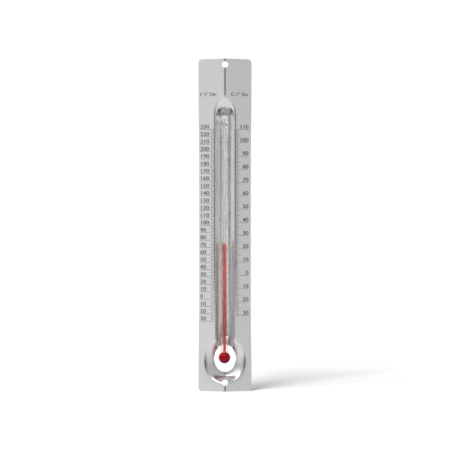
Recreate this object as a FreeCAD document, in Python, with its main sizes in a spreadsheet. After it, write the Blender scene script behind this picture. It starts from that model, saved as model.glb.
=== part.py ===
import FreeCAD, Part
import math
import os

# A spirit-in-glass thermometer on a V-folded sheet-metal back.
# Millimetres. +Z is up, the scale faces -Y, and +X is to the right of someone reading it.
# The origin is the middle of the footprint, at the height of the lower edge.

# ---------------------------------------------------------------- driving sizes

SIZES = [
    # back plate
    ("plate_height", 158.75, "height of the back plate, 6 1/4 in"),
    ("plate_width", 25.4, "width across the two ends, 1 in"),
    ("waist_width", 24.8, "width across the slightly drawn-in middle"),
    ("waist_low", 38.0, "height where the lower end reaches waist width"),
    ("waist_high", 112.0, "height where the upper end starts to widen"),
    ("waist_run", 30.0, "length of each change from waist to full width"),
    ("corner_radius", 1.6, "radius of the four corners"),
    ("sheet", 0.55, "thickness of the sheet"),
    ("fold_angle", 30.0, "slope of each arm away from the flat, degrees"),
    ("fold_radius", 1.2, "front radius of the fold"),
    # pressed channel for the tube
    ("channel_half_floor", 2.85, "half width of the channel's floor before its foot radius"),
    ("channel_side_slope", 3.8, "rise over run of the channel's side walls"),
    ("channel_top", 132.65, "height where the side walls end and the rounded top end starts"),
    ("channel_crown", 1.5, "how far the floor reaches past that height"),
    ("channel_end_slope", 1.4, "rise over run of the top end's wall"),
    # pressed dish around the bulb
    ("dish_height", 14.1, "height of the dish's centre"),
    ("dish_half_width", 5.3, "half width of the dish's floor"),
    ("dish_half_height", 7.3, "half height of the dish's floor"),
    ("dish_side_slope", 0.43, "rise over run of the dish's wall at its sides"),
    ("dish_end_slope", 2.3, "rise over run of the dish's wall at its top and bottom"),
    ("lip_radius", 1.1, "front radius where the pressing leaves the arms"),
    ("foot_radius", 0.9, "front radius between a wall and the floor"),
    ("join_radius", 3.0, "front radius where the channel runs into the dish"),
    # openings in the plate
    ("window_height", 15.55, "height of the bulb window's centre"),
    ("window_half_width", 5.25, "half width of the bulb window"),
    ("window_half_height", 6.55, "half height of the bulb window"),
    ("hole_radius", 1.5, "radius of the two fixing holes"),
    ("upper_hole_drop", 2.85, "upper hole's centre below the top edge"),
    ("lower_hole_rise", 4.1, "lower hole's centre above the bottom edge"),
    # glass
    ("tube_radius", 2.175, "outside radius of the stem"),
    ("tube_offset", -0.25, "how far the tube sits to the side of the fold"),
    ("tube_seat_gap", 0.1, "gap between stem and channel floor, filled by the adhesive"),
    ("tube_top", 132.0, "height of the stem's rounded top"),
    ("shoulder_low", 23.5, "height where the shoulder ends in the neck"),
    ("shoulder_high", 27.0, "height where the shoulder meets the stem"),
    ("neck_radius", 1.65, "outside radius of the neck above the bulb"),
    ("bulb_radius", 2.8, "outside radius of the bulb"),
    ("bulb_height", 16.0, "height of the bulb's centre"),
    ("cavity_radius", 2.3, "inside radius of the bulb"),
    ("bore_radius", 0.425, "radius of the bore"),
    ("chamber_height", 127.7, "height of the expansion chamber's centre"),
    ("chamber_radius", 0.8, "radius of the expansion chamber"),
    ("chamber_half_length", 1.5, "half length of the expansion chamber"),
    # spirit
    ("spirit_clearance", 0.025, "radial clearance of the moving spirit in the bore"),
    ("reading", 24.0, "temperature shown, degrees Celsius"),
    ("meniscus_height", 0.7, "height of the top end of the column"),
    # adhesive
    ("bead_half_width", 2.1, "half width of an adhesive bead"),
    ("bead_half_length", 3.2, "half length of an adhesive bead"),
    ("bead_rise", 1.7, "height of an adhesive bead above the channel floor"),
    ("upper_bead_height", 129.4, "height of the upper bead's centre"),
    ("lower_bead_height", 30.5, "height of the lower bead's centre"),
    # printed scales
    ("ink", 0.04, "thickness of the printed ink"),
    ("scale_top", 125.1, "height of the 110 degree Celsius line, also 230 Fahrenheit"),
    ("celsius_pitch", 0.635, "height of one degree Celsius"),
    ("line_width", 0.16, "width of a printed line"),
    ("numeral_height", 1.75, "height of a numeral"),
    ("numeral_width", 0.86, "width of a numeral"),
    ("numeral_pitch", 1.34, "advance from one numeral to the next"),
    ("numeral_lift", 0.42, "gap between a numeral and the line under it"),
    ("stroke_width", 0.22, "width of a numeral's stroke"),
    ("legend_height", 142.0, "height of the middle of the two unit legends"),
]

CELSIUS_TOP = 110
CELSIUS_BOTTOM = -30
FAHRENHEIT_TOP = 230
FAHRENHEIT_BOTTOM = -30

# Where the printing sits across the plate, measured straight across the front from the fold.
FAHRENHEIT_NUMERAL_LEFT = 11.7
FAHRENHEIT_LONG = (6.0, 11.9)
FAHRENHEIT_SHORT = (5.3, 6.8)
CELSIUS_NUMERAL_RIGHT = 11.3
CELSIUS_LONG = (5.3, 10.9)
CELSIUS_MIDDLE = (5.3, 7.4)
CELSIUS_SHORT = (5.3, 6.5)
END_LINE_OUTER = 11.9
END_LINE_INNER = 5.3
LEGEND_INNER = 5.0

MARGIN = 6.0
NEAR = 1e-4

# A glyph is a list of straight strokes on a grid one wide and two high.
GLYPHS = {
    "0": [[(0, 0), (1, 0), (1, 2), (0, 2), (0, 0)]],
    "1": [[(0.5, 0), (0.5, 2)]],
    "2": [[(0, 2), (1, 2), (1, 1), (0, 1), (0, 0), (1, 0)]],
    "3": [[(0, 2), (1, 2), (1, 0), (0, 0)], [(0.2, 1), (1, 1)]],
    "4": [[(0, 2), (0, 1), (1, 1)], [(1, 2), (1, 0)]],
    "5": [[(1, 2), (0, 2), (0, 1), (1, 1), (1, 0), (0, 0)]],
    "6": [[(1, 2), (0, 2), (0, 0), (1, 0), (1, 1), (0, 1)]],
    "7": [[(0, 2), (1, 2), (0.4, 0)]],
    "8": [[(0, 0), (1, 0), (1, 2), (0, 2), (0, 0)], [(0, 1), (1, 1)]],
    "9": [[(0, 0), (1, 0), (1, 2), (0, 2), (0, 1), (1, 1)]],
    "F": [[(0, 0), (0, 2), (1, 2)], [(0, 1), (0.8, 1)]],
    "C": [[(1, 2), (0, 2), (0, 0), (1, 0)]],
    "D": [[(0, 0), (0.6, 0), (1, 0.5), (1, 1.5), (0.6, 2), (0, 2), (0, 0)]],
    "i": [[(0.5, 0), (0.5, 1.3)], [(0.5, 1.6), (0.5, 1.9)]],
    "v": [[(0, 1.3), (0.5, 0), (1, 1.3)]],
    "o": [[(0.1, 1.4), (0.6, 1.4), (0.6, 1.9), (0.1, 1.9), (0.1, 1.4)]],
}

os.makedirs("parts", exist_ok=True)
doc = FreeCAD.newDocument("thermometer")
sizes_sheet = doc.addObject("Spreadsheet::Sheet", "Sizes")
SIZE = {}
for row, (alias, value, note) in enumerate(SIZES, start=1):
    sizes_sheet.set("A%d" % row, alias)
    sizes_sheet.set("B%d" % row, str(value))
    sizes_sheet.set("C%d" % row, note)
    sizes_sheet.setAlias("B%d" % row, alias)
    SIZE[alias] = value

# Sizes that follow from the driving ones, as formulas in the sheet.
FORMULAS = [
    ("arm_lead", "sheet / cos(fold_angle * 1deg)", "sheet's thickness measured straight back"),
    ("ridge_depth", "arm_lead + plate_width / 2 * tan(fold_angle * 1deg)", "fold's sharp corner to rear"),
    ("ridge_trim", "fold_radius * (1 / cos(fold_angle * 1deg) - 1)", "what the radius takes off it"),
    ("depth", "ridge_depth - ridge_trim", "front of the fold to the rear edges"),
    ("rear", "depth / 2", "rear plane, behind the origin"),
    ("tube_setback", "sheet + tube_seat_gap + tube_radius", "tube's axis in front of the rear plane"),
    ("tube_axis", "rear - tube_setback", "where the tube's axis is, front to back"),
    ("column_top", "scale_top - (110 - reading) * celsius_pitch", "height of the reading"),
    ("thread_foot", "bulb_height + cavity_radius - 0.1", "height where the thread leaves the bulb"),
    ("thread_radius", "bore_radius - spirit_clearance", "radius of the thread"),
]
for row, (alias, formula, note) in enumerate(FORMULAS, start=len(SIZES) + 2):
    sizes_sheet.set("A%d" % row, alias)
    sizes_sheet.set("B%d" % row, "=" + formula)
    sizes_sheet.set("C%d" % row, note)
    sizes_sheet.setAlias("B%d" % row, alias)
doc.recompute()
for alias, formula, note in FORMULAS:
    SIZE[alias] = float(getattr(sizes_sheet, alias))

FOLD = math.radians(SIZE["fold_angle"])
HALF_WIDTH = SIZE["plate_width"] / 2
REAR = SIZE["rear"]
FRONT_OF_ALL = REAR - SIZE["ridge_depth"] - 3.0
BEHIND_ALL = REAR + 10.0


def vec(x, y, z):
    return FreeCAD.Vector(x, y, z)


# ---------------------------------------------------------------- document helpers


def bind(obj, **formulas):
    """Ties properties to the sheet. A double underscore stands for a dot in the property's path."""
    for path, formula in formulas.items():
        obj.setExpression(path.replace("__", "."), formula)
    return obj


def cylinder(name, radius, height, base_height, depth="Sizes.tube_axis"):
    """An upright cylinder on the tube's axis, all of it tied to the sheet."""
    obj = doc.addObject("Part::Cylinder", name)
    bind(obj, Radius=radius, Height=height, Placement__Base__x="Sizes.tube_offset")
    bind(obj, Placement__Base__y=depth, Placement__Base__z=base_height)
    return obj


def sphere(name, radius, height):
    obj = doc.addObject("Part::Sphere", name)
    bind(obj, Radius=radius, Placement__Base__x="Sizes.tube_offset")
    bind(obj, Placement__Base__y="Sizes.tube_axis", Placement__Base__z=height)
    return obj


def ellipsoid(name, half_length, half_depth, half_width, depth, height):
    """An ellipsoid whose half sizes are along Z, Y and X."""
    obj = doc.addObject("Part::Ellipsoid", name)
    bind(obj, Radius1=half_length, Radius2=half_width, Radius3=half_depth)
    bind(obj, Placement__Base__x="Sizes.tube_offset")
    bind(obj, Placement__Base__y=depth, Placement__Base__z=height)
    return obj


def drill(name, radius, height):
    """A front-to-back cylinder that cuts right through the plate."""
    obj = doc.addObject("Part::Cylinder", name)
    obj.Placement.Rotation = FreeCAD.Rotation(vec(1, 0, 0), 90)
    bind(obj, Radius=radius, Height="Sizes.depth + 8")
    bind(obj, Placement__Base__y="Sizes.rear + 4", Placement__Base__z=height)
    return obj


def fuse(name, *shapes):
    obj = doc.addObject("Part::MultiFuse", name)
    obj.Shapes = list(shapes)
    obj.Refine = True
    return obj


def cut(name, base, tool):
    obj = doc.addObject("Part::Cut", name)
    obj.Base = base
    obj.Tool = tool
    return obj


def common(name, *shapes):
    obj = doc.addObject("Part::MultiCommon", name)
    obj.Shapes = list(shapes)
    return obj


def plain(name, shape):
    obj = doc.addObject("Part::Feature", name)
    obj.Shape = shape
    return obj


# ---------------------------------------------------------------- back plate


def arm_front(x, offset):
    """Front-to-back place of an arm's front plane, moved back by offset along its normal."""
    reach = HALF_WIDTH - abs(x)
    return REAR - SIZE["arm_lead"] - reach * math.tan(FOLD) + offset / math.cos(FOLD)


def folded_block(offset):
    """Everything behind the folded front face, with a sharp fold."""
    reach = HALF_WIDTH + 3.0
    corners = [
        vec(-reach, arm_front(reach, offset), -MARGIN),
        vec(0, arm_front(0, offset), -MARGIN),
        vec(reach, arm_front(reach, offset), -MARGIN),
        vec(reach, BEHIND_ALL, -MARGIN),
        vec(-reach, BEHIND_ALL, -MARGIN),
    ]
    face = Part.Face(Part.makePolygon(corners + corners[:1]))
    return face.extrude(vec(0, 0, SIZE["plate_height"] + 2 * MARGIN))


def upright_ellipse(half_width, half_height, y, height):
    """An ellipse in a plane that faces the reader."""
    centre = vec(0, y, height)
    side = vec(half_width, y, height)
    top = vec(0, y, height + half_height)
    if half_width >= half_height:
        return Part.Ellipse(side, top, centre)
    return Part.Ellipse(top, side, centre)


def channel_outline(half_width, crown, y):
    """A slot with a rounded top, whose lower end is inside the dish."""
    height = SIZE["channel_top"]
    ellipse = upright_ellipse(half_width, crown, y, height)
    ends = sorted(ellipse.parameter(vec(s * half_width, y, height)) for s in (-1, 1))
    arc = Part.ArcOfEllipse(ellipse, ends[0], ends[1])
    if arc.value((ends[0] + ends[1]) / 2).z < height:
        arc = Part.ArcOfEllipse(ellipse, ends[1], ends[0] + 2 * math.pi)
    start = arc.value(arc.FirstParameter)
    finish = arc.value(arc.LastParameter)
    if start.x > finish.x:
        start, finish = finish, start
    low = SIZE["dish_height"]
    foot_start = vec(start.x, y, low)
    foot_finish = vec(finish.x, y, low)
    edges = [
        Part.makeLine(foot_finish, foot_start),
        Part.makeLine(foot_start, start),
        arc.toShape(),
        Part.makeLine(finish, foot_finish),
    ]
    return Part.Wire(Part.__sortEdges__(edges))


def dish_outline(half_width, half_height, y):
    return Part.Wire([upright_ellipse(half_width, half_height, y, SIZE["dish_height"]).toShape()])


def punch(outline, half_width, half_height, side_slope, end_slope, offset):
    """The space that a pressing opens in front of its floor; offset grows it on all sides."""
    floor = REAR - SIZE["sheet"] + offset
    at_floor = []
    at_front = []
    for reach, slope in ((half_width, side_slope), (half_height, end_slope)):
        lean = math.atan(1 / slope)
        foot = reach + offset * (1 / math.cos(lean) - math.tan(lean))
        at_floor.append(foot)
        at_front.append(foot + (floor - FRONT_OF_ALL) / slope)
    return Part.makeLoft([outline(*at_floor, floor), outline(*at_front, FRONT_OF_ALL)], True, True)


def channel_punch(offset):
    half_floor = SIZE["channel_half_floor"]
    slopes = SIZE["channel_side_slope"], SIZE["channel_end_slope"]
    return punch(channel_outline, half_floor, SIZE["channel_crown"], *slopes, offset)


def dish_punch(offset):
    half_floor = SIZE["dish_half_width"]
    slopes = SIZE["dish_side_slope"], SIZE["dish_end_slope"]
    return punch(dish_outline, half_floor, SIZE["dish_half_height"], *slopes, offset)


def middle_of(edge):
    return edge.valueAt((edge.FirstParameter + edge.LastParameter) / 2)


def fold_edges(shape):
    """The sharp edges along the fold."""
    found = []
    for edge in shape.Edges:
        box = edge.BoundBox
        on_middle = abs(box.XMin) < NEAR and abs(box.XMax) < NEAR
        if on_middle and box.ZLength > 1 and box.YLength < NEAR:
            found.append(edge)
    return found


def join_edges(shape):
    """The two edges where the channel's walls run into the dish's wall."""
    found = []
    for edge in shape.Edges:
        box = edge.BoundBox
        in_reach = box.ZMin > SIZE["dish_height"] + 1 and box.ZMax < SIZE["shoulder_high"] + 10
        if in_reach and box.YLength > 2 and box.XLength < 3 and abs(middle_of(edge).x) > 2.5:
            found.append(edge)
    return found


def floor_edges(shape, floor):
    """The foot of every wall. Lines inside the floor, where the bulb window comes, are left out."""
    found = []
    for edge in shape.Edges:
        box = edge.BoundBox
        if abs(box.YMin - floor) > NEAR or abs(box.YMax - floor) > NEAR:
            continue
        point = middle_of(edge)
        rise = abs(point.z - SIZE["window_height"]) / SIZE["window_half_height"]
        run = abs(point.x) / SIZE["window_half_width"]
        if math.hypot(rise, run) > 1:
            found.append(edge)
    return found


def lip_edges(shape, floor, offset):
    """Every edge where the pressing leaves the arms or the fold."""
    found = []
    for edge in shape.Edges:
        box = edge.BoundBox
        point = middle_of(edge)
        on_arm = abs(point.y - arm_front(point.x, offset)) < 0.35
        between_ends = box.ZMin > 0.2 and box.ZMax < SIZE["plate_height"] - 8
        along_fold = box.XLength < 1e-3 and abs(point.x) < 1.2 and box.ZLength > 2
        if on_arm and between_ends and box.YMax < floor - 0.5 and not along_fold:
            found.append(edge)
    return found


def pressed_block(offset):
    """Everything behind the formed front face, moved back by offset along its normals."""
    floor = REAR - SIZE["sheet"] + offset
    block = folded_block(offset).cut(channel_punch(offset)).cut(dish_punch(offset))
    block = block.makeFillet(SIZE["join_radius"] - offset, join_edges(block))
    block = block.makeFillet(SIZE["fold_radius"] - offset, fold_edges(block))
    block = block.makeFillet(SIZE["foot_radius"] + offset, floor_edges(block, floor))
    return block.makeFillet(SIZE["lip_radius"] - offset, lip_edges(block, floor, offset))


def side_curve(side):
    """One long side: full width at both ends, drawn in smoothly along the middle."""
    full = side * HALF_WIDTH
    waist = side * SIZE["waist_width"] / 2
    low = SIZE["waist_low"]
    high = SIZE["waist_high"]
    run = SIZE["waist_run"]
    lower = Part.BezierCurve()
    lower.setPoles(
        [
            vec(full, 0, low - run),
            vec(full, 0, low - run / 2),
            vec(waist, 0, low - run / 2),
            vec(waist, 0, low),
        ]
    )
    upper = Part.BezierCurve()
    upper.setPoles(
        [
            vec(waist, 0, high),
            vec(waist, 0, high + run / 2),
            vec(full, 0, high + run / 2),
            vec(full, 0, high + run),
        ]
    )
    return [
        Part.makeLine(vec(full, 0, 0), vec(full, 0, low - run)),
        lower.toShape(),
        Part.makeLine(vec(waist, 0, low), vec(waist, 0, high)),
        upper.toShape(),
        Part.makeLine(vec(full, 0, high + run), vec(full, 0, SIZE["plate_height"])),
    ]


def plate_outline():
    """The plate's outline as a block, with its four corners rounded."""
    top = SIZE["plate_height"]
    edges = side_curve(1)
    edges.append(Part.makeLine(vec(HALF_WIDTH, 0, top), vec(-HALF_WIDTH, 0, top)))
    edges += side_curve(-1)
    edges.append(Part.makeLine(vec(-HALF_WIDTH, 0, 0), vec(HALF_WIDTH, 0, 0)))
    wire = Part.Wire(Part.__sortEdges__(edges))
    block = Part.Face(wire).extrude(vec(0, BEHIND_ALL - FRONT_OF_ALL, 0))
    block.translate(vec(0, FRONT_OF_ALL, 0))
    corners = []
    for edge in block.Edges:
        box = edge.BoundBox
        at_corner = abs(abs(middle_of(edge).x) - HALF_WIDTH) < NEAR
        at_end = min(abs(box.ZMin), abs(box.ZMin - top)) < NEAR
        if at_corner and at_end and box.YLength > 1 and box.ZLength < NEAR:
            corners.append(edge)
    return block.makeFillet(SIZE["corner_radius"], corners)


formed = plain("formed_sheet", pressed_block(0).cut(pressed_block(SIZE["sheet"])))
trim = plain("outline_block", plate_outline())
trimmed = common("trimmed_sheet", formed, trim)

window_face = doc.addObject("Part::Ellipse", "window_ellipse")
window_face.MajorRadius = SIZE["window_half_height"]
window_face.MinorRadius = SIZE["window_half_width"]
window_face.Placement.Rotation = FreeCAD.Rotation(vec(0, 0, 1), vec(1, 0, 0), vec(0, 1, 0), "ZXY")
bind(window_face, MajorRadius="Sizes.window_half_height", MinorRadius="Sizes.window_half_width")
bind(window_face, Placement__Base__z="Sizes.window_height", Placement__Base__y="Sizes.rear + 4")
window_tool = doc.addObject("Part::Extrusion", "window_tool")
window_tool.Base = window_face
window_tool.Dir = vec(0, -1, 0)
window_tool.Solid = True
bind(window_tool, LengthFwd="Sizes.depth + 8")

upper_drill = drill("upper_hole_tool", "Sizes.hole_radius", "Sizes.plate_height - Sizes.upper_hole_drop")
lower_drill = drill("lower_hole_tool", "Sizes.hole_radius", "Sizes.lower_hole_rise")
plate_tools = fuse("plate_openings", window_tool, upper_drill, lower_drill)
back_plate = cut("back_plate", trimmed, plate_tools)

# ---------------------------------------------------------------- glass tube

stem = cylinder(
    "stem_outside",
    "Sizes.tube_radius",
    "Sizes.tube_top - Sizes.tube_radius - Sizes.shoulder_high",
    "Sizes.shoulder_high",
)
stem_crown = sphere("stem_crown", "Sizes.tube_radius", "Sizes.tube_top - Sizes.tube_radius")
shoulder = doc.addObject("Part::Cone", "shoulder")
bind(shoulder, Radius1="Sizes.neck_radius", Radius2="Sizes.tube_radius")
bind(shoulder, Height="Sizes.shoulder_high - Sizes.shoulder_low")
bind(shoulder, Placement__Base__x="Sizes.tube_offset")
bind(shoulder, Placement__Base__y="Sizes.tube_axis", Placement__Base__z="Sizes.shoulder_low")
neck = cylinder("neck", "Sizes.neck_radius", "Sizes.shoulder_low - Sizes.bulb_height", "Sizes.bulb_height")
bulb = sphere("bulb_outside", "Sizes.bulb_radius", "Sizes.bulb_height")
glass_outside = fuse("glass_outside", stem, stem_crown, shoulder, neck, bulb)

cavity = sphere("bulb_cavity", "Sizes.cavity_radius", "Sizes.bulb_height")
bore = cylinder("bore", "Sizes.bore_radius", "Sizes.chamber_height - Sizes.bulb_height", "Sizes.bulb_height")
chamber = ellipsoid(
    "expansion_chamber",
    "Sizes.chamber_half_length",
    "Sizes.chamber_radius",
    "Sizes.chamber_radius",
    "Sizes.tube_axis",
    "Sizes.chamber_height",
)
glass_inside = fuse("glass_inside", cavity, bore, chamber)
glass_tube = cut("glass_tube", glass_outside, glass_inside)

# ---------------------------------------------------------------- spirit

fill_ball = sphere("reservoir_ball", "Sizes.cavity_radius - Sizes.spirit_clearance", "Sizes.bulb_height")
fill_trim = cylinder("reservoir_trim", "Sizes.cavity_radius", "Sizes.cavity_radius", "Sizes.thread_foot")
spirit_reservoir = cut("spirit_reservoir", fill_ball, fill_trim)

spirit_thread = cylinder(
    "spirit_thread",
    "Sizes.thread_radius",
    "Sizes.column_top - Sizes.meniscus_height - Sizes.thread_foot",
    "Sizes.thread_foot",
)

meniscus_plug = cylinder(
    "meniscus_plug",
    "Sizes.thread_radius",
    "Sizes.meniscus_height",
    "Sizes.column_top - Sizes.meniscus_height",
)
meniscus_dip = sphere(
    "meniscus_dip",
    "Sizes.thread_radius * 1.25",
    "Sizes.column_top + Sizes.thread_radius * 0.95",
)
spirit_meniscus = cut("spirit_meniscus", meniscus_plug, meniscus_dip)

# ---------------------------------------------------------------- adhesive


def adhesive_bead(name, height):
    """A lens of clear adhesive between the channel's floor and the stem."""
    lens = ellipsoid(
        name + "_lens",
        "Sizes.bead_half_length",
        "Sizes.bead_rise",
        "Sizes.bead_half_width",
        "Sizes.rear - Sizes.sheet",
        height,
    )
    front_half = doc.addObject("Part::Box", name + "_front_half")
    bind(front_half, Length="2 * Sizes.bead_half_width", Width="Sizes.bead_rise")
    bind(front_half, Height="2 * Sizes.bead_half_length")
    bind(front_half, Placement__Base__x="Sizes.tube_offset - Sizes.bead_half_width")
    bind(front_half, Placement__Base__y="Sizes.rear - Sizes.sheet - Sizes.bead_rise")
    bind(front_half, Placement__Base__z=height + " - Sizes.bead_half_length")
    half_lens = common(name + "_half_lens", lens, front_half)
    seat = cylinder(
        name + "_seat",
        "Sizes.tube_radius",
        "2 * Sizes.bead_half_length + 2",
        height + " - Sizes.bead_half_length - 1",
    )
    return cut(name, half_lens, seat)


upper_adhesive_bead = adhesive_bead("upper_adhesive_bead", "Sizes.upper_bead_height")
lower_adhesive_bead = adhesive_bead("lower_adhesive_bead", "Sizes.lower_bead_height")

# ---------------------------------------------------------------- printed scales


def along_arm(x):
    """Distance along an arm from the sharp fold, for a place x measured straight across."""
    return x / math.cos(FOLD)


def line(first, second, height):
    """A printed line along an arm, drawn in the arm's own plane."""
    start, finish = sorted((along_arm(first), along_arm(second)))
    width = SIZE["line_width"]
    corner = vec(start, -SIZE["ink"], height - width / 2)
    return Part.makeBox(finish - start, SIZE["ink"], width, corner)


def stroke(first, second):
    """A straight stroke with square ends that reach half its width past both points."""
    run = second - first
    run.normalize()
    half = SIZE["stroke_width"] / 2
    side = vec(-run.z, 0, run.x) * half
    tail = first - run * half
    head = second + run * half
    corners = [tail - side, head - side, head + side, tail + side]
    face = Part.Face(Part.makePolygon(corners + corners[:1]))
    return face.extrude(vec(0, -SIZE["ink"], 0))


def glyph(letter, left, low):
    """One character as one solid."""
    wide = SIZE["numeral_width"]
    half_high = SIZE["numeral_height"] / 2
    strokes = []
    for path in GLYPHS[letter]:
        points = [vec(left + x * wide, 0, low + z * half_high) for x, z in path]
        for first, second in zip(points, points[1:]):
            strokes.append(stroke(first, second))
    solid = strokes[0]
    if len(strokes) > 1:
        solid = strokes[0].multiFuse(strokes[1:]).removeSplitter()
    return solid.Solids


def text(letters, left, low):
    solids = []
    for place, letter in enumerate(letters):
        if letter != " ":
            solids += glyph(letter, left + place * SIZE["numeral_pitch"], low)
    return solids


def text_width(letters):
    return (len(letters) - 1) * SIZE["numeral_pitch"] + SIZE["numeral_width"]


def celsius_height(degrees):
    return SIZE["scale_top"] - (CELSIUS_TOP - degrees) * SIZE["celsius_pitch"]


def fahrenheit_height(degrees):
    return celsius_height((degrees - 32) / 1.8)


def fahrenheit_lines():
    """The left arm's lines: one every 2 degrees, long every 10. Its own X runs to the fold."""
    solids = []
    for degrees in range(FAHRENHEIT_BOTTOM, FAHRENHEIT_TOP + 1, 2):
        inner, outer = FAHRENHEIT_LONG if degrees % 10 == 0 else FAHRENHEIT_SHORT
        if degrees in (FAHRENHEIT_BOTTOM, FAHRENHEIT_TOP):
            inner, outer = END_LINE_INNER, END_LINE_OUTER
        solids.append(line(-outer, -inner, fahrenheit_height(degrees)))
    return solids


def celsius_lines():
    """The right arm's lines: one every degree, longer every 5, longest every 10."""
    solids = []
    for degrees in range(CELSIUS_BOTTOM, CELSIUS_TOP + 1):
        inner, outer = CELSIUS_SHORT
        if degrees % 5 == 0:
            inner, outer = CELSIUS_MIDDLE
        if degrees % 10 == 0:
            inner, outer = CELSIUS_LONG
        if degrees in (CELSIUS_BOTTOM, CELSIUS_TOP):
            inner, outer = END_LINE_INNER, END_LINE_OUTER
        solids.append(line(inner, outer, celsius_height(degrees)))
    return solids


def fahrenheit_figures():
    solids = []
    left = -along_arm(FAHRENHEIT_NUMERAL_LEFT)
    for degrees in range(FAHRENHEIT_BOTTOM, FAHRENHEIT_TOP + 1, 10):
        low = fahrenheit_height(degrees) + SIZE["numeral_lift"]
        solids += text(str(abs(degrees)), left, low)
    return solids


def celsius_figures():
    solids = []
    right = along_arm(CELSIUS_NUMERAL_RIGHT)
    for degrees in range(CELSIUS_BOTTOM, CELSIUS_TOP + 1, 10):
        letters = str(abs(degrees))
        low = celsius_height(degrees) + SIZE["numeral_lift"]
        solids += text(letters, right - text_width(letters), low)
    return solids


def on_arm(name, solids, side):
    """Ink drawn flat, then turned onto the left arm (side -1) or the right one (side 1)."""
    obj = plain(name, Part.makeCompound(solids))
    apex = REAR - SIZE["ridge_depth"]
    turn = FreeCAD.Rotation(vec(0, 0, 1), side * SIZE["fold_angle"])
    obj.Placement = FreeCAD.Placement(vec(0, apex, 0), turn)
    return obj


LEFT, RIGHT = -1, 1
legend_low = SIZE["legend_height"] - SIZE["numeral_height"] / 2
left_legend = "F2oDiv"
right_legend = "C1oDiv"
left_legend_start = -along_arm(LEGEND_INNER) - text_width(left_legend)

fahrenheit_graduations = on_arm("fahrenheit_graduations", fahrenheit_lines(), LEFT)
fahrenheit_numerals = on_arm("fahrenheit_numerals", fahrenheit_figures(), LEFT)
fahrenheit_legend = on_arm("fahrenheit_legend", text(left_legend, left_legend_start, legend_low), LEFT)
celsius_graduations = on_arm("celsius_graduations", celsius_lines(), RIGHT)
celsius_numerals = on_arm("celsius_numerals", celsius_figures(), RIGHT)
celsius_legend = on_arm("celsius_legend", text(right_legend, along_arm(LEGEND_INNER), legend_low), RIGHT)

# ---------------------------------------------------------------- check and export

NODES = [
    back_plate,
    glass_tube,
    spirit_reservoir,
    spirit_thread,
    spirit_meniscus,
    upper_adhesive_bead,
    lower_adhesive_bead,
    fahrenheit_graduations,
    fahrenheit_numerals,
    fahrenheit_legend,
    celsius_graduations,
    celsius_numerals,
    celsius_legend,
]

doc.recompute()
for obj in doc.Objects:
    bad = [word for word in obj.State if word in ("Invalid", "Error")]
    if bad:
        raise RuntimeError("%s is %s" % (obj.Label, bad))
for obj in NODES:
    if obj.Shape.isNull() or not obj.Shape.isValid():
        raise RuntimeError("%s has no valid shape" % obj.Label)
    obj.Shape.exportStep(os.path.join("parts", obj.Label + ".step"))
    box = obj.Shape.BoundBox
    spans = (box.XMin, box.XMax, box.YMin, box.YMax, box.ZMin, box.ZMax)
    print("%-24s %4d solids %10.3f mm3" % (obj.Label, len(obj.Shape.Solids), obj.Shape.Volume))
    print("    loose box  x %.2f %.2f  y %.2f %.2f  z %.2f %.2f" % spans)
for alias, formula, note in FORMULAS:
    print("%-16s %9.4f  %s" % (alias, SIZE[alias], note))
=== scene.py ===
import math

import bmesh
import bpy
from mathutils import Matrix, Vector


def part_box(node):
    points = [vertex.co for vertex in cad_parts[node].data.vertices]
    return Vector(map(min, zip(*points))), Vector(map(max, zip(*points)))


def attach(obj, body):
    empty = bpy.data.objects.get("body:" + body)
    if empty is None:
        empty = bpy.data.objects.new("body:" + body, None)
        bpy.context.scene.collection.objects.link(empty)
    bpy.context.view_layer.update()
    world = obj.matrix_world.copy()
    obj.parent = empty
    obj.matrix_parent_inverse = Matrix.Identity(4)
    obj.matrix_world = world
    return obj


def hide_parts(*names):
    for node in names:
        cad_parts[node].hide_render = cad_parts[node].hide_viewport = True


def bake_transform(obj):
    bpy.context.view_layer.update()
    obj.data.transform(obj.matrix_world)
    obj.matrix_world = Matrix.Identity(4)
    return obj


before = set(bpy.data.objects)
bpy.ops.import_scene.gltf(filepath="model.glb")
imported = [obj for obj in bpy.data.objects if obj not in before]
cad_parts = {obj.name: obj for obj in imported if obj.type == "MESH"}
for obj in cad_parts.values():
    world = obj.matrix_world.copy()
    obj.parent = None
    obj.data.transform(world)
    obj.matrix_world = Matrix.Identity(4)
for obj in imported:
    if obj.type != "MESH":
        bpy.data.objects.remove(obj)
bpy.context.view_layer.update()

# The looks of a metal-backed spirit thermometer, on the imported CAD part.
# Metres, in the part's frame: +Z up, the scale faces -Y, and +X is to the reader's right.

MM = 0.001

# ---------------------------------------------------------------- places read from the CAD frame

PLATE_LOW, PLATE_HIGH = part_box("back_plate")
TUBE_LOW, TUBE_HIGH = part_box("glass_tube")
THREAD_LOW, THREAD_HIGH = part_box("spirit_thread")
MENISCUS_LOW, MENISCUS_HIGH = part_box("spirit_meniscus")

FRONT = PLATE_LOW.y
TUBE_X = (THREAD_LOW.x + THREAD_HIGH.x) / 2
TUBE_Y = (THREAD_LOW.y + THREAD_HIGH.y) / 2
BULB_RADIUS = TUBE_HIGH.x - TUBE_X
BULB_HEIGHT = TUBE_LOW.z + BULB_RADIUS

# ---------------------------------------------------------------- sizes shared with the CAD part

FOLD = math.radians(30)
FOLD_RADIUS = 1.2 * MM
STEM_RADIUS = 2.175 * MM
NECK_RADIUS = 1.65 * MM
SHOULDER_LOW = 23.5 * MM
SHOULDER_HIGH = 27.0 * MM
BORE_RADIUS = 0.425 * MM
CAVITY_RADIUS = 2.3 * MM
CHAMBER_HEIGHT = 127.7 * MM
CHAMBER_RADIUS = 0.8 * MM
CHAMBER_HALF_LENGTH = 1.5 * MM
SCALE_TOP = 125.1 * MM
CELSIUS_PITCH = 0.635 * MM
INK = 0.04 * MM

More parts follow.
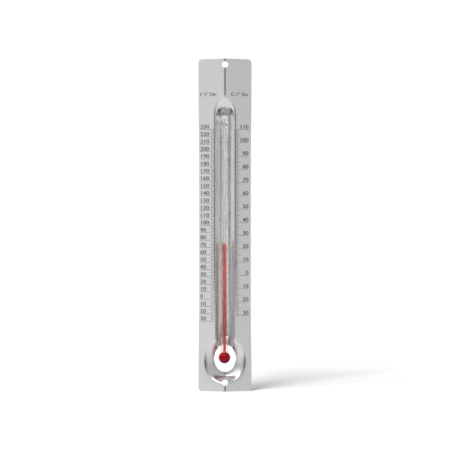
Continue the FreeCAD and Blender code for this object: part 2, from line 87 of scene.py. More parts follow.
# the fold's sharp corner, which the arms' planes run out of
APEX = FRONT - FOLD_RADIUS * (1 / math.cos(FOLD) - 1)

# ---------------------------------------------------------------- finishes

# Colours and roughness, each as the two ends that a pattern or a change with height runs between.
ALUMINIUM_TONES = ((0.84, 0.845, 0.855), (0.90, 0.90, 0.90))
ALUMINIUM_ROUGHNESS = (0.24, 0.32)
GLASS_TONES = ((0.80, 0.785, 0.775), (0.94, 0.94, 0.93))
# reflection tints of the glass: a painted red reflection below the bulb's top, plain white above
GLASS_PAINTED_SHEEN_TINTS = ((1.0, 0.22, 0.26), (1.0, 1.0, 1.0))
BULB_TONES = ((0.25, 0.0003, 0.003), (0.31, 0.0005, 0.005))
COLUMN_TONES = ((0.38, 0.048, 0.038), (0.46, 0.062, 0.048))
INK_TONES = ((0.02, 0.02, 0.022), (0.065, 0.065, 0.068))
ADHESIVE_TONE = (0.98, 0.98, 0.97, 1)

# heights between which a finish changes: smoky to clear glass, the painted red reflection on the bulb to
# none on the neck, and the painted backlight on the column in the window to none in the channel
DRAWN_GLASS = (22 * MM, 28 * MM)
PAINTED_SHEEN_TOP = (18.2 * MM, 19.4 * MM)
PAINTED_BACKLIGHT_TOP = (22 * MM, 27 * MM)

# painted backlight: how much paler the column is painted where it crosses the open window, as if lit
# through it from behind
COLUMN_PAINTED_BACKLIGHT_GAIN = 1.9


class Shade:
    """A node material with short calls for the nodes that are used here."""

    def __init__(self, name):
        self.material = bpy.data.materials.new(name)
        self.material.use_nodes = True
        self.tree = self.material.node_tree
        self.surface = self.tree.nodes["Principled BSDF"]
        self.place = self.tree.nodes.new("ShaderNodeTexCoord").outputs["Object"]

    def set(self, **values):
        for name, value in values.items():
            self.surface.inputs[name.replace("_", " ")].default_value = value
        return self

    def paint(self, value, socket):
        """Links a value to one of the surface's sockets."""
        self.link(value, self.surface.inputs[socket])

    def node(self, kind, **values):
        made = self.tree.nodes.new(kind)
        for name, value in values.items():
            setattr(made, name, value)
        return made

    def link(self, source, target):
        self.tree.links.new(source, target)

    def height(self):
        parts = self.node("ShaderNodeSeparateXYZ")
        self.link(self.place, parts.inputs[0])
        return parts.outputs["Z"]

    def stretched(self, x, y, z):
        mapping = self.node("ShaderNodeMapping")
        mapping.inputs["Scale"].default_value = (x, y, z)
        self.link(self.place, mapping.inputs["Vector"])
        return mapping.outputs["Vector"]

    def noise(self, vector, scale, detail=3.0, roughness=0.55):
        noise = self.node("ShaderNodeTexNoise")
        noise.inputs["Scale"].default_value = scale
        noise.inputs["Detail"].default_value = detail
        noise.inputs["Roughness"].default_value = roughness
        self.link(vector, noise.inputs["Vector"])
        return noise.outputs["Fac"]

    def spread(self, value, low, high, new_low, new_high):
        node = self.node("ShaderNodeMapRange")
        node.inputs["From Min"].default_value = low
        node.inputs["From Max"].default_value = high
        node.inputs["To Min"].default_value = new_low
        node.inputs["To Max"].default_value = new_high
        self.link(value, node.inputs["Value"])
        return node.outputs["Result"]

    def mix_colour(self, factor, first, second):
        node = self.node("ShaderNodeMix", data_type="RGBA")
        self.link(factor, node.inputs[0])
        node.inputs[6].default_value = (*first, 1)
        node.inputs[7].default_value = (*second, 1)
        return node.outputs[2]

    def math(self, operation, first, second):
        node = self.node("ShaderNodeMath", operation=operation)
        for place, value in enumerate((first, second)):
            if isinstance(value, (int, float)):
                node.inputs[place].default_value = value
            else:
                self.link(value, node.inputs[place])
        return node.outputs[0]

    def bump(self, height, strength, distance):
        node = self.node("ShaderNodeBump")
        node.inputs["Strength"].default_value = strength
        node.inputs["Distance"].default_value = distance
        self.link(height, node.inputs["Height"])
        self.paint(node.outputs["Normal"], "Normal")


def satin_aluminium():
    """Rolled and anodised aluminium: fine grain along the plate, faint mottle and a soft sheen."""
    shade = Shade("satin_aluminium")
    shade.set(Metallic=1.0)
    fine = shade.noise(shade.stretched(1, 1, 1), scale=5200, detail=2.0)
    streaks = shade.noise(shade.stretched(1, 1, 0.06), scale=1500, detail=3.0)
    cloud = shade.noise(shade.stretched(1, 1, 0.5), scale=90, detail=2.0)
    tone = shade.math("ADD", shade.math("MULTIPLY", fine, 0.5), shade.math("MULTIPLY", cloud, 0.5))
    shade.paint(shade.mix_colour(shade.spread(tone, 0.3, 0.7, 0, 1), *ALUMINIUM_TONES), "Base Color")
    grain = shade.math("ADD", fine, streaks)
    shade.paint(shade.spread(grain, 0.6, 1.4, *ALUMINIUM_ROUGHNESS), "Roughness")
    shade.bump(grain, strength=0.10, distance=0.02 * MM)
    return shade.material


def clear_glass():
    """Clear stem, slightly smoky drawn glass at the neck and bulb, and a red tint painted into the glass's
    reflections round the bulb: a painted reflection of the red spirit.
    """
    shade = Shade("clear_glass")
    shade.set(Roughness=0.0, IOR=1.5, Transmission_Weight=1.0)
    height = shade.height()
    shade.paint(shade.mix_colour(shade.spread(height, *DRAWN_GLASS, 0, 1), *GLASS_TONES), "Base Color")
    # painted reflection: the glass's reflections turn red round the bulb
    shade.paint(shade.mix_colour(shade.spread(height, *PAINTED_SHEEN_TOP, 0, 1), *GLASS_PAINTED_SHEEN_TINTS), "Specular Tint")
    ripple = shade.noise(shade.stretched(1, 1, 0.04), scale=220, detail=1.0)
    shade.bump(ripple, strength=0.02, distance=0.01 * MM)
    return shade.material


def red_spirit(name, tones, painted_backlight_gain):
    """Dyed spirit, with its colour multiplied by the given gain below the window's top: painted backlight,
    a paler column where the window is open behind it.
    """
    shade = Shade(name)
    shade.set(Roughness=0.12, IOR=1.36, Specular_IOR_Level=0.1)
    depth = shade.noise(shade.stretched(1, 1, 0.2), scale=900, detail=2.0)
    lit = shade.node("ShaderNodeVectorMath", operation="SCALE")
    shade.link(shade.mix_colour(shade.spread(depth, 0.3, 0.7, 0, 1), *tones), lit.inputs[0])
    # painted backlight: below the window's top the column's colour is made paler
    shade.link(shade.spread(shade.height(), *PAINTED_BACKLIGHT_TOP, painted_backlight_gain, 1), lit.inputs["Scale"])
    shade.paint(lit.outputs[0], "Base Color")
    return shade.material


def clear_adhesive():
    """Clear adhesive, whose edge against the glass hardly shows."""
    shade = Shade("clear_adhesive")
    shade.set(Base_Color=ADHESIVE_TONE, Roughness=0.0, IOR=1.08, Transmission_Weight=1.0)
    lumps = shade.noise(shade.stretched(1, 1, 1), scale=700, detail=2.0)
    shade.bump(lumps, strength=0.2, distance=0.05 * MM)
    return shade.material


def dark_ink():
    """Matte print with faint wear."""
    shade = Shade("dark_ink")
    shade.set(Roughness=0.55, IOR=1.45)
    wear = shade.noise(shade.stretched(1, 1, 1), scale=4000, detail=3.0)
    shade.paint(shade.mix_colour(shade.spread(wear, 0.35, 0.7, 0, 1), *INK_TONES), "Base Color")
    return shade.material


ALUMINIUM = satin_aluminium()
GLASS = clear_glass()
BULB_SPIRIT = red_spirit("bulb_spirit", BULB_TONES, 1.0)
COLUMN_SPIRIT = red_spirit("column_spirit", COLUMN_TONES, COLUMN_PAINTED_BACKLIGHT_GAIN)
ADHESIVE = clear_adhesive()
DARK_INK = dark_ink()

# ---------------------------------------------------------------- mesh helpers

# a ring smaller than this is a single point on the axis
POLE_RADIUS = 1e-9


def linked(name, data):
    """A new object in the scene."""
    thing = bpy.data.objects.new(name, data)
    bpy.context.scene.collection.objects.link(thing)
    return thing


def mesh_of(name, work):
    """A mesh from finished bmesh work."""
    mesh = bpy.data.meshes.new(name)
    work.to_mesh(mesh)
    work.free()
    return mesh


def finished(piece, material):
    """Gives a piece its only material."""
    piece.data.materials.clear()
    piece.data.materials.append(material)
    return piece


def new_piece(name, mesh, material, body="thermometer"):
    """A piece that rides a body; a body of None leaves it on no body."""
    piece = finished(linked(name, mesh), material)
    if body:
        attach(piece, body)
    return piece


def lathe(name, profile, sides):
    """A closed solid about the tube's axis, from (radius, height) points, lower pole to upper pole."""
    mesh = bpy.data.meshes.new(name)
    vertices = []
    faces = []
    rings = []
    for radius, height in profile:
        if radius < POLE_RADIUS:
            rings.append([len(vertices)])
            vertices.append((TUBE_X, TUBE_Y, height))
            continue
        start = len(vertices)
        for side in range(sides):
            turn = 2 * math.pi * side / sides
            vertices.append((TUBE_X + radius * math.cos(turn), TUBE_Y + radius * math.sin(turn), height))
        rings.append(list(range(start, start + sides)))
    for lower, upper in zip(rings, rings[1:]):
        for side in range(sides):
            after = (side + 1) % sides
            if len(lower) == 1:
                faces.append((lower[0], upper[after], upper[side]))
            elif len(upper) == 1:
                faces.append((lower[side], lower[after], upper[0]))
            else:
                faces.append((lower[side], lower[after], upper[after], upper[side]))
    mesh.from_pydata(vertices, [], faces)
    mesh.polygons.foreach_set("use_smooth", [True] * len(mesh.polygons))
    mesh.update()
    return mesh


def arc_points(centre_radius, centre_height, radius, start, finish, steps):
    """Points on an arc in the lathe's half plane; angles in degrees from straight out, upward positive."""
    points = []
    for step in range(steps + 1):
        angle = math.radians(start + (finish - start) * step / steps)
        out, up = radius * math.cos(angle), radius * math.sin(angle)
        points.append((centre_radius + out, centre_height + up))
    return points


def smooth_step(share):
    """0 to 1 with flat ends; a share outside 0 to 1 counts as the nearer end."""
    share = min(max(share, 0), 1)
    return share * share * (3 - 2 * share)


def between(first, second, share):
    return first + (second - first) * share


def eased(first, second, steps):
    """Points between one (radius, height) and another, on a curve that starts and ends upright."""
    points = []
    for step in range(1, steps):
        share = step / steps
        radius = between(first[0], second[0], smooth_step(share))
        points.append((radius, between(first[1], second[1], share)))
    return points


# ---------------------------------------------------------------- back plate

# The formed sheet's front is a height above the floor of the pressing, worked out in millimetres.
PLATE_HALF_WIDTH = PLATE_HIGH.x / MM
PLATE_HEIGHT = PLATE_HIGH.z / MM
WAIST_HALF_WIDTH = 12.4
WAIST_LOW = 38.0
WAIST_HIGH = 112.0
WAIST_RUN = 30.0
CORNER = 1.6
SHEET = 0.55
ARM_SLOPE = math.tan(FOLD)
RIDGE = SHEET * (1 / math.cos(FOLD) - 1) + PLATE_HALF_WIDTH * ARM_SLOPE
RIDGE_SOFTNESS = 0.60
CHANNEL_HALF_FLOOR = 3.05
CHANNEL_SLOPE = 3.8
CROWN_FOOT = 131.2
CROWN_TOP = 139.2
CROWN_SLOPE = 1.0
CROWN_ROUNDNESS = 2.4
DISH_HEIGHT = 14.1
DISH_HALF_WIDTH = 5.2
DISH_HALF_HEIGHT = 7.3
DISH_UPPER_HALF_HEIGHT = 6.2
DISH_SIDE_SLOPE = 0.42
DISH_END_SLOPE = 2.3
DISH_UPPER_END_SLOPE = 1.1
LIP_SOFTNESS = 2.2
LOW_LIP_SOFTNESS = 0.9
LOW_LIP_HEIGHT = 25.0
LOW_LIP_RUN = 40.0
DISH_LIP_SOFTNESS = 1.0
DISH_SIDE_LIP_SOFTNESS = 0.7
FOOT_SOFTNESS = 0.6
DISH_FOOT_SOFTNESS = 2.6
DISH_SIDE_FOOT_SOFTNESS = 0.15
# the window's middle height, half width and half height, and the holes' heights
WINDOW = (15.55, 5.25, 6.55)
HOLES = (4.1, PLATE_HEIGHT - 2.85)
HOLE_RADIUS = 1.5

# a height well above the ridge, for places that a wall doesn't bound
OPEN_LEVEL = 30.0
# an oval wall goes no deeper than this share of the way to where its oval would close
WALL_DEPTH_SHARE = 0.98
WALL_HALVINGS = 26
# above this the dish is too far off to change the surface
DISH_REACH = 40.0
# how far the openings' cutters reach in front of and behind the sheet, in metres
CUTTER_REACH = 0.02
# a face that leans more than this from the formed surface is a cut wall
CUT_WALL_FACING = 0.7


def lower_of(first, second, softness):
    """The smaller of two heights, with the change from one to the other rounded."""
    return (first + second - math.hypot(first - second, softness)) / 2


def upper_of(first, second, softness):
    """The larger of two heights, rounded in the same way."""
    return (first + second + math.hypot(first - second, softness)) / 2


def oval_level(x, z, half_width, half_height, side_slope, end_slope, roundness=2.0):
    """Height on a wall round an oval floor that opens at different slopes across and up."""
    low = -WALL_DEPTH_SHARE * min(half_width * side_slope, half_height * end_slope)
    high = OPEN_LEVEL
    for _ in range(WALL_HALVINGS):
        level = (low + high) / 2
        across = abs(x) / (half_width + level / side_slope)
        upward = abs(z) / (half_height + level / end_slope)
        if across**roundness + upward**roundness > 1:
            low = level
        else:
            high = level
    return (low + high) / 2


def dish_level(x, z):
    """Height on the dish's wall, which opens at a gentler slope above the bulb than below it."""
    if z > DISH_HEIGHT:
        ends = (DISH_UPPER_HALF_HEIGHT, DISH_SIDE_SLOPE, DISH_UPPER_END_SLOPE)
    else:
        ends = (DISH_HALF_HEIGHT, DISH_SIDE_SLOPE, DISH_END_SLOPE)
    return oval_level(x, z - DISH_HEIGHT, DISH_HALF_WIDTH, *ends)


def channel_level(x, z):
    """Height of the channel's steep sides, with the rounded end that closes it at the top."""
    if z < CROWN_FOOT:
        level = CHANNEL_SLOPE * (abs(x) - CHANNEL_HALF_FLOOR)
    else:
        half_height = CROWN_TOP - CROWN_FOOT - RIDGE / CROWN_SLOPE
        ends = (half_height, CHANNEL_SLOPE, CROWN_SLOPE, CROWN_ROUNDNESS)
        level = oval_level(x, z - CROWN_FOOT, CHANNEL_HALF_FLOOR, *ends)
    return upper_of(0, level, FOOT_SOFTNESS)


def plate_level(x, z):
    """Height of the formed front above the floor of the pressing."""
    arms = RIDGE - ARM_SLOPE * math.hypot(x, RIDGE_SOFTNESS)
    channel = channel_level(x, z) if z > DISH_HEIGHT else OPEN_LEVEL
    upward = smooth_step((z - LOW_LIP_HEIGHT) / LOW_LIP_RUN)
    level = lower_of(arms, channel, between(LOW_LIP_SOFTNESS, LIP_SOFTNESS, upward))
    if z > DISH_REACH:
        return level
    downward = smooth_step((DISH_HEIGHT - z) / DISH_HALF_HEIGHT)
    foot = between(DISH_SIDE_FOOT_SOFTNESS, DISH_FOOT_SOFTNESS, downward)
    lip = between(DISH_SIDE_LIP_SOFTNESS, DISH_LIP_SOFTNESS, downward)
    return lower_of(level, upper_of(0, dish_level(x, z), foot), lip)


def plate_normal(x, z):
    """The way the formed front faces, from its slopes over a hundredth of a millimetre."""
    step = 0.01
    across = (plate_level(x + step, z) - plate_level(x - step, z)) / (2 * step)
    upward = (plate_level(x, z + step) - plate_level(x, z - step)) / (2 * step)
    return Vector((-across, -1, -upward)).normalized()


def plate_half_width(z):
    """Half width at a height: full at the ends, drawn in along the middle, with rounded corners."""
    from_end = min(z, PLATE_HEIGHT - z)
    if from_end < CORNER:
        return PLATE_HALF_WIDTH - CORNER + math.sqrt(CORNER**2 - (CORNER - from_end) ** 2)
    share = min((z - WAIST_LOW + WAIST_RUN) / WAIST_RUN, (WAIST_HIGH + WAIST_RUN - z) / WAIST_RUN)
    return between(PLATE_HALF_WIDTH, WAIST_HALF_WIDTH, smooth_step(share))


def stations(*runs):
    """Places along a line; each run is (finish, step) and starts where the one before it ends."""
    places = [0.0]
    for finish, step in runs:
        start = places[-1]
        count = max(1, round((finish - start) / step))
        places += [start + (finish - start) * part / count for part in range(1, count + 1)]
    return places


def front_point(x, z):
    """The formed front's point at a place, in metres."""
    return Vector((x, (PLATE_HIGH.y / MM) - SHEET - plate_level(x, z), z)) * MM


def plate_blank():
    """The formed sheet as a closed solid, before its openings."""
    # finest across the fold and the channel's sides
    half = stations((1.2, 0.2), (2.4, 0.4), (6.0, 0.25), (WAIST_HALF_WIDTH, 0.5))
    shares = [-place / WAIST_HALF_WIDTH for place in reversed(half[1:])]
    shares += [place / WAIST_HALF_WIDTH for place in half]
    # finest at the corners, over the dish and over the channel's rounded end
    straight_end = PLATE_HEIGHT - CORNER
    rows = stations(
        (CORNER, 0.2),
        (33.0, 0.35),
        (66.0, 2.5),
        (126.0, 4.0),
        (142.0, 0.35),
        (straight_end, 3.0),
    )
    rows += [straight_end + place for place in stations((CORNER, 0.2))[1:]]
    work = bmesh.new()
    front = []
    back = []
    for z in rows:
        front_row = []
        back_row = []
        for share in shares:
            x = share * plate_half_width(z)
            point = front_point(x, z)
            front_row.append(work.verts.new(point))
            # the back is straight behind the front, so steep walls come out thinner, as drawn walls do
            depth = SHEET * min(1 / abs(plate_normal(x, z).y), 1 / math.cos(FOLD))
            back_row.append(work.verts.new(point + Vector((0, depth * MM, 0))))
        front.append(front_row)
        back.append(back_row)
    across = len(shares) - 1
    for low, high, low_back, high_back in zip(front, front[1:], back, back[1:]):
        for side in range(across):
            work.faces.new((low[side], low[side + 1], high[side + 1], high[side]))
            work.faces.new((low_back[side], high_back[side], high_back[side + 1], low_back[side + 1]))
        work.faces.new((low[0], high[0], high_back[0], low_back[0]))
        work.faces.new((low[across], low_back[across], high_back[across], high[across]))
    for side in range(across):
        work.faces.new((front[0][side], back[0][side], back[0][side + 1], front[0][side + 1]))
        work.faces.new((front[-1][side], front[-1][side + 1], back[-1][side + 1], back[-1][side]))
    return mesh_of("plate_blank", work)


def opening(height, half_width, half_height, sides):
    """A front-to-back oval bar that cuts an opening."""
    work = bmesh.new()
    rings = []
    for y in (-CUTTER_REACH, CUTTER_REACH):
        ring = []
        for side in range(sides):
            turn = 2 * math.pi * side / sides
            x = half_width * math.cos(turn)
            z = height + half_height * math.sin(turn)
            ring.append(work.verts.new((x * MM, y, z * MM)))
        rings.append(ring)
    near, far = rings
    for side in range(sides):
        after = (side + 1) % sides
        work.faces.new((near[side], far[side], far[after], near[after]))
    work.faces.new(near)
    work.faces.new(reversed(far))
    return linked("opening", mesh_of("opening", work))


def punched(mesh, tools):
    """The blank with its openings cut."""
    thing = linked("punched", mesh)
    for tool in tools:
        step = thing.modifiers.new(tool.name, "BOOLEAN")
        step.object = tool
        step.operation = "DIFFERENCE"
        step.solver = "EXACT"
    bpy.context.view_layer.update()
    evaluated = thing.evaluated_get(bpy.context.evaluated_depsgraph_get())
    made = bpy.data.meshes.new_from_object(evaluated)
    for used in [thing] + tools:
        bpy.data.objects.remove(used)
    return made


def true_normals(mesh):
    """Shades both faces of the sheet by the formed surface's own slopes and keeps cut walls flat."""
    normals = []
    for polygon in mesh.polygons:
        polygon.use_smooth = True
        middle = polygon.center / MM
        facing = polygon.normal.dot(plate_normal(middle.x, middle.z))
        for index in polygon.vertices:
            place = mesh.vertices[index].co / MM
            if abs(facing) < CUT_WALL_FACING:
                normals.append(polygon.normal.copy())
            else:
                normals.append(plate_normal(place.x, place.z) * math.copysign(1, facing))
    mesh.normals_split_custom_set(normals)


openings = [opening(*WINDOW, sides=96)]
openings += [opening(height, HOLE_RADIUS, HOLE_RADIUS, sides=48) for height in HOLES]
plate_mesh = punched(plate_blank(), openings)
true_normals(plate_mesh)
plate = new_piece("plate", plate_mesh, ALUMINIUM)
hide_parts("back_plate")

# ---------------------------------------------------------------- glass tube

# the bulb's round ends at this angle above straight out, and the neck is straight this far above its middle
BULB_ROUND_END = 58.0
NECK_START = 3.1 * MM
# straight bore above the cavity before the long run, and the steps along the stem and the chamber
BORE_START = 0.3 * MM
STEM_STEPS = 12
CHAMBER_STEPS = 14


def glass_profile():
    """Outside of the tube, from the bottom of the bulb to the rounded top."""
    bulb = arc_points(0, BULB_HEIGHT, BULB_RADIUS, -90, BULB_ROUND_END, steps=26)
    bulb[0] = (0, TUBE_LOW.z)
    neck_start = (NECK_RADIUS, BULB_HEIGHT + NECK_START)
    points = bulb + eased(bulb[-1], neck_start, steps=8)
    points += [neck_start, (NECK_RADIUS, SHOULDER_LOW)]
    points += eased((NECK_RADIUS, SHOULDER_LOW), (STEM_RADIUS, SHOULDER_HIGH), steps=10)
    crown = TUBE_HIGH.z - STEM_RADIUS
    for step in range(STEM_STEPS + 1):
        points.append((STEM_RADIUS, between(SHOULDER_HIGH, crown, step / STEM_STEPS)))
    top = arc_points(0, crown, STEM_RADIUS, 0, 90, steps=14)[1:]
    top[-1] = (0, TUBE_HIGH.z)
    return points + top


def bore_profile():
    """Inside of the tube: bulb cavity, bore and the small chamber at its top."""
    exit_angle = math.degrees(math.acos(BORE_RADIUS / CAVITY_RADIUS))
    points = arc_points(0, BULB_HEIGHT, CAVITY_RADIUS, -90, exit_angle, steps=22)
    points[0] = (0, BULB_HEIGHT - CAVITY_RADIUS)
    # the chamber's middle is level 0, its top is 1, and the bore comes in at entry
    entry = -math.sqrt(1 - (BORE_RADIUS / CHAMBER_RADIUS) ** 2)
    points.append((BORE_RADIUS, BULB_HEIGHT + CAVITY_RADIUS + BORE_START))
    points.append((BORE_RADIUS, CHAMBER_HEIGHT + CHAMBER_HALF_LENGTH * entry))
    for step in range(1, CHAMBER_STEPS + 1):
        level = between(entry, 1, step / CHAMBER_STEPS)
        radius = CHAMBER_RADIUS * math.sqrt(max(0.0, 1 - level * level))
        points.append((radius, CHAMBER_HEIGHT + CHAMBER_HALF_LENGTH * level))
    points[-1] = (0, CHAMBER_HEIGHT + CHAMBER_HALF_LENGTH)
    return points


def joined(name, outside, inside):
    """One mesh whose inner skin faces the hollow."""
    inside.flip_normals()
    work = bmesh.new()
    work.from_mesh(outside)
    work.from_mesh(inside)
    return mesh_of(name, work)


outside = lathe("outside", glass_profile(), sides=96)
inside = lathe("inside", bore_profile(), sides=48)
tube_mesh = joined("tube", outside, inside)
tube = new_piece("tube", tube_mesh, GLASS)
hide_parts("glass_tube")

# ---------------------------------------------------------------- spirit

# The liquid wets the glass, so its skin reaches a hair into the wall and the glass magnifies it.
WET = 1.006
SPIRIT_RADIUS = BORE_RADIUS * WET
FILL_RADIUS = CAVITY_RADIUS * WET
# the fill's round ends at this angle above straight out, in a flat top under the thread
FILL_ROUND_END = 78
# the column's top end is hollow by this much
DIP = 0.30 * MM
DIP_STEPS = 8

fill_points = arc_points(0, BULB_HEIGHT, FILL_RADIUS, -90, FILL_ROUND_END, steps=24)
fill_points[0] = (0, BULB_HEIGHT - FILL_RADIUS)
fill_points.append((0, fill_points[-1][1]))
fill_mesh = lathe("bulb_fill", fill_points, sides=64)
bulb_fill = new_piece("bulb_fill", fill_mesh, BULB_SPIRIT)
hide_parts("spirit_reservoir")

thread_points = [
    (0, THREAD_LOW.z),
    (SPIRIT_RADIUS, THREAD_LOW.z),
    (SPIRIT_RADIUS, THREAD_HIGH.z),
    (0, THREAD_HIGH.z),
]
column_mesh = lathe("column", thread_points, sides=32)
column = new_piece("column", column_mesh, COLUMN_SPIRIT, body=None)
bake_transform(column)
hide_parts("spirit_thread")

end_points = [(0, MENISCUS_LOW.z), (SPIRIT_RADIUS, MENISCUS_LOW.z)]
for step in range(DIP_STEPS + 1):
    share = step / DIP_STEPS
    drop = DIP * math.sin(share * math.pi / 2)
    end_points.append((SPIRIT_RADIUS * (1 - share), MENISCUS_HIGH.z - drop))
end_points[-1] = (0, MENISCUS_HIGH.z - DIP)
end_mesh = lathe("column_end", end_points, sides=32)
column_end = new_piece("column_end", end_mesh, COLUMN_SPIRIT, body="column_end")
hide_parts("spirit_meniscus")

# ---------------------------------------------------------------- adhesive and graduations kept from CAD

for node in ("upper_adhesive_bead", "lower_adhesive_bead"):
    bead = finished(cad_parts[node], ADHESIVE)
    bead.data.polygons.foreach_set("use_smooth", [True] * len(bead.data.polygons))

for node in ("fahrenheit_graduations", "celsius_graduations"):
    finished(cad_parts[node], DARK_INK)

# ---------------------------------------------------------------- numerals and legends

LEFT, RIGHT = -1, 1
NUMERAL_SIZE = 2.65 * MM
NUMERAL_STRETCH = 1.08
NUMERAL_WEIGHT = 0.02 * MM
NUMERAL_LIFT = 0.42 * MM
FAHRENHEIT_EDGE = -11.9 * MM
CELSIUS_EDGE = 11.3 * MM
CELSIUS_LEGEND_EDGE = 11.2 * MM
LEGEND_SIZE = 2.3 * MM
LEGEND_MIDDLE = 142.0 * MM
LEGEND_LOW = LEGEND_MIDDLE - NUMERAL_SIZE * 0.35
LETTER_SMOOTHNESS = 4
WELD = 1e-7


def celsius_height(degrees):
    """A reading's height; the scale's top line is 110."""
    return SCALE_TOP - (110 - degrees) * CELSIUS_PITCH


def fahrenheit_height(degrees):
    return celsius_height((degrees - 32) / 1.8)


def arm_matrix(side):
    """Takes flat print (x across, y up, z out of the paper) onto an arm's plane."""
    turn = Matrix.Rotation(side * FOLD, 4, "Z")
    upright = Matrix.Rotation(math.radians(90), 4, "X")
    return Matrix.Translation((0, APEX, 0)) @ turn @ upright


def print_text(words, side, place, height, align, size, stretch=1.0, weight=0.0):
    """One mesh of a line of print, lying on an arm; place is measured straight across."""
    lean = math.cos(FOLD)
    curve = bpy.data.curves.new("words", "FONT")
    curve.body = words
    curve.size = size
    curve.align_x = align
    curve.extrude = INK / 2
    curve.offset = weight
    curve.resolution_u = LETTER_SMOOTHNESS
    thing = linked("words", curve)
    bpy.context.view_layer.update()
    mesh = bpy.data.meshes.new_from_object(thing)
    bpy.data.objects.remove(thing)
    move = Matrix.Translation((place / lean, height, INK / 2))
    widen = Matrix.Diagonal((stretch / lean, 1, 1, 1))
    mesh.transform(arm_matrix(side) @ move @ widen)
    return mesh


def print_piece(name, meshes, node):
    """Joins lines of print into one piece that stands in for a CAD node."""
    work = bmesh.new()
    for mesh in meshes:
        work.from_mesh(mesh)
    bmesh.ops.remove_doubles(work, verts=work.verts, dist=WELD)
    piece = new_piece(name, mesh_of(name, work), DARK_INK)
    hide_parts(node)


def numerals(readings, height_of, side, place, align):
    """The numbers along one scale; readings below zero have no sign."""
    words = []
    for degrees in readings:
        height = height_of(degrees) + NUMERAL_LIFT
        style = (align, NUMERAL_SIZE, NUMERAL_STRETCH, NUMERAL_WEIGHT)
        words.append(print_text(str(abs(degrees)), side, place, height, *style))
    return words


fahrenheit = numerals(range(-30, 231, 10), fahrenheit_height, LEFT, FAHRENHEIT_EDGE, "LEFT")
print_piece("fahrenheit_figures", fahrenheit, "fahrenheit_numerals")
celsius = numerals(range(-30, 111, 10), celsius_height, RIGHT, CELSIUS_EDGE, "RIGHT")
print_piece("celsius_figures", celsius, "celsius_numerals")

fahrenheit_legend = print_text("F 2° Div", LEFT, FAHRENHEIT_EDGE, LEGEND_LOW, "LEFT", LEGEND_SIZE)
print_piece("fahrenheit_words", [fahrenheit_legend], "fahrenheit_legend")
celsius_legend = print_text("C 1° Div", RIGHT, CELSIUS_LEGEND_EDGE, LEGEND_LOW, "RIGHT", LEGEND_SIZE)
print_piece("celsius_words", [celsius_legend], "celsius_legend")

# ---------------------------------------------------------------- floor, light and camera

# paler underfoot than on the wall, so that both come out the same white
FLOOR_TONE = 0.448
WALL_TONE = 0.335
WALL_FOOT_HEIGHT = 0.15

# the sweep's extent, and the curve that takes its floor up into its wall
SWEEP_FRONT = -6.0
SWEEP_BACK = 2.6
SWEEP_HALF_WIDTH = 4.0
SWEEP_HEIGHT = 4.0
SWEEP_BEND = 1.0
SWEEP_BEND_STEPS = 12

# The room's brightness by direction, with soft changes everywhere, like the panels of a light tent.
# READER is the dim part in front of the scale, and SOFT_BOX the bright one overhead.
LEFT_LEVEL = 0.64
RIGHT_LEVEL = 0.53
LOW_LEVEL = 1.35
HIGH_LEVEL = 0.86
HEIGHT_SPAN = 0.5
READER_DEPTH = 0.92
READER_FRONT = (0.0, 0.3)
READER_HALF_WIDTH = (0.30, 0.68)
READER_BOTTOM = (-0.36, -0.12)
READER_TOP = (0.15, 0.50)
SOFT_BOX = (-0.4, -0.15, 0.9)
SOFT_BOX_SPREAD = (0.80, 0.95)
SOFT_BOX_LEVEL = 1.7
SWEEP_WHITE = 1.05

# name, direction, strength and apparent size in degrees
# together they throw one broad shadow back and to the right
LIGHTS = (
    ("key", (0.30, 0.954, -0.68), 5.7, 19),
    ("key_side", (0.60, 0.800, -0.74), 2.3, 24),
)


def staging():
    """A pale sweep: a floor that curves up into a wall far behind."""
    floor_shade = Shade("floor")
    floor_shade.set(Roughness=0.9)
    tone = floor_shade.spread(floor_shade.height(), 0, WALL_FOOT_HEIGHT, FLOOR_TONE, WALL_TONE)
    floor_shade.paint(tone, "Base Color")
    outline = [(SWEEP_FRONT, 0.0), (SWEEP_BACK, 0.0)]
    for step in range(1, SWEEP_BEND_STEPS + 1):
        angle = math.radians(90 * step / SWEEP_BEND_STEPS)
        y = SWEEP_BACK + SWEEP_BEND * math.sin(angle)
        outline.append((y, SWEEP_BEND * (1 - math.cos(angle))))
    outline.append((SWEEP_BACK + SWEEP_BEND, SWEEP_HEIGHT))
    work = bmesh.new()
    rows = []
    for y, z in outline:
        rows.append([work.verts.new((x, y, z)) for x in (-SWEEP_HALF_WIDTH, SWEEP_HALF_WIDTH)])
    for lower, upper in zip(rows, rows[1:]):
        work.faces.new((lower[0], lower[1], upper[1], upper[0]))
    floor = linked("floor", mesh_of("floor", work))
    floor.data.polygons.foreach_set("use_smooth", [True] * len(floor.data.polygons))
    floor.data.materials.append(floor_shade.material)
    floor.visible_glossy = False


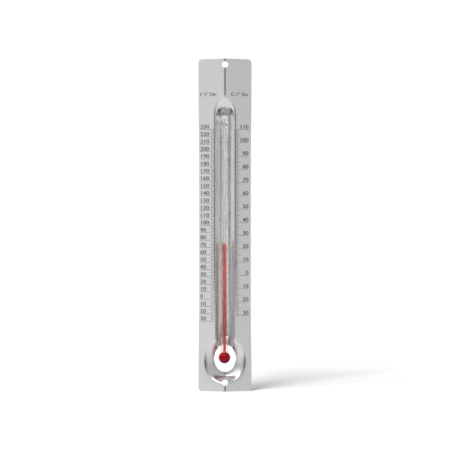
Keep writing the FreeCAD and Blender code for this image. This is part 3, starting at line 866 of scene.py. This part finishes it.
def studio_world():
    """Soft white room: lighter on the left and below, dim in front, with a bright box overhead."""
    world = bpy.data.worlds.new("studio")
    bpy.context.scene.world = world
    world.use_nodes = True
    tree = world.node_tree
    background = tree.nodes["Background"]
    background.inputs["Color"].default_value = (1, 1, 1, 1)
    place = tree.nodes.new("ShaderNodeTexCoord").outputs["Generated"]

    def along(direction):
        node = tree.nodes.new("ShaderNodeVectorMath")
        node.operation = "DOT_PRODUCT"
        node.inputs[1].default_value = Vector(direction).normalized()
        tree.links.new(place, node.inputs[0])
        return node.outputs["Value"]

    def spread(value, low, high, new_low, new_high, kind="SMOOTHSTEP"):
        node = tree.nodes.new("ShaderNodeMapRange")
        node.interpolation_type = kind
        ends = {"From Min": low, "From Max": high, "To Min": new_low, "To Max": new_high}
        for name, number in ends.items():
            node.inputs[name].default_value = number
        tree.links.new(value, node.inputs["Value"])
        return node.outputs["Result"]

    def combine(operation, first, second=None):
        node = tree.nodes.new("ShaderNodeMath")
        node.operation = operation
        for place_in, value in enumerate((first, second)):
            if isinstance(value, (int, float)):
                node.inputs[place_in].default_value = value
            elif value is not None:
                tree.links.new(value, node.inputs[place_in])
        return node.outputs[0]

    sides = spread(along((-1, 0, 0)), -1, 1, RIGHT_LEVEL, LEFT_LEVEL, "LINEAR")
    heights = spread(along((0, 0, 1)), -HEIGHT_SPAN, HEIGHT_SPAN, LOW_LEVEL, HIGH_LEVEL, "LINEAR")
    across = spread(combine("ABSOLUTE", along((1, 0, 0))), *READER_HALF_WIDTH, 1.0, 0.0)
    ahead = spread(along((0, -1, 0)), *READER_FRONT, 0.0, 1.0)
    above = spread(along((0, 0, 1)), *READER_BOTTOM, 0.0, 1.0)
    below = spread(along((0, 0, 1)), *READER_TOP, 1.0, 0.0)
    reader = combine("MULTIPLY", combine("MULTIPLY", across, ahead), combine("MULTIPLY", above, below))
    dimming = combine("SUBTRACT", 1.0, combine("MULTIPLY", reader, READER_DEPTH))
    soft_box = spread(along(SOFT_BOX), *SOFT_BOX_SPREAD, 0.0, SOFT_BOX_LEVEL)
    room = combine("MULTIPLY", combine("MULTIPLY", sides, heights), dimming)
    # seen directly, past the edges of the sweep, the room is as white as the sweep
    seen = tree.nodes.new("ShaderNodeLightPath").outputs["Is Camera Ray"]
    lit = combine("MULTIPLY", combine("ADD", room, soft_box), combine("SUBTRACT", 1.0, seen))
    strength = combine("ADD", lit, combine("MULTIPLY", seen, SWEEP_WHITE))
    tree.links.new(strength, background.inputs["Strength"])


def sun(name, direction, strength, angle):
    """A far soft light that shines along direction and leaves no highlight of its own."""
    data = bpy.data.lights.new(name, "SUN")
    data.energy = strength
    data.angle = math.radians(angle)
    lamp = linked(name, data)
    lamp.rotation_euler = Vector(direction).to_track_quat("-Z", "Y").to_euler()
    lamp.visible_glossy = False


staging()
studio_world()
for light in LIGHTS:
    sun(*light)

bpy.context.scene.view_settings.view_transform = "Standard"

# the camera faces the plate's middle squarely and takes in this width at the fold's ridge
CAMERA_DISTANCE = 1.3
CAMERA_HEIGHT = 79.4 * MM
VIEW_WIDTH = 214.38 * MM
SENSOR_WIDTH = 36
camera_data = bpy.data.cameras.new("camera")
camera_data.sensor_width = SENSOR_WIDTH
camera_data.lens = SENSOR_WIDTH * (CAMERA_DISTANCE + FRONT) / VIEW_WIDTH
camera = linked("camera", camera_data)
camera.location = (0, -CAMERA_DISTANCE, CAMERA_HEIGHT)
camera.rotation_euler = (math.radians(90), 0, 0)
bpy.context.scene.camera = camera
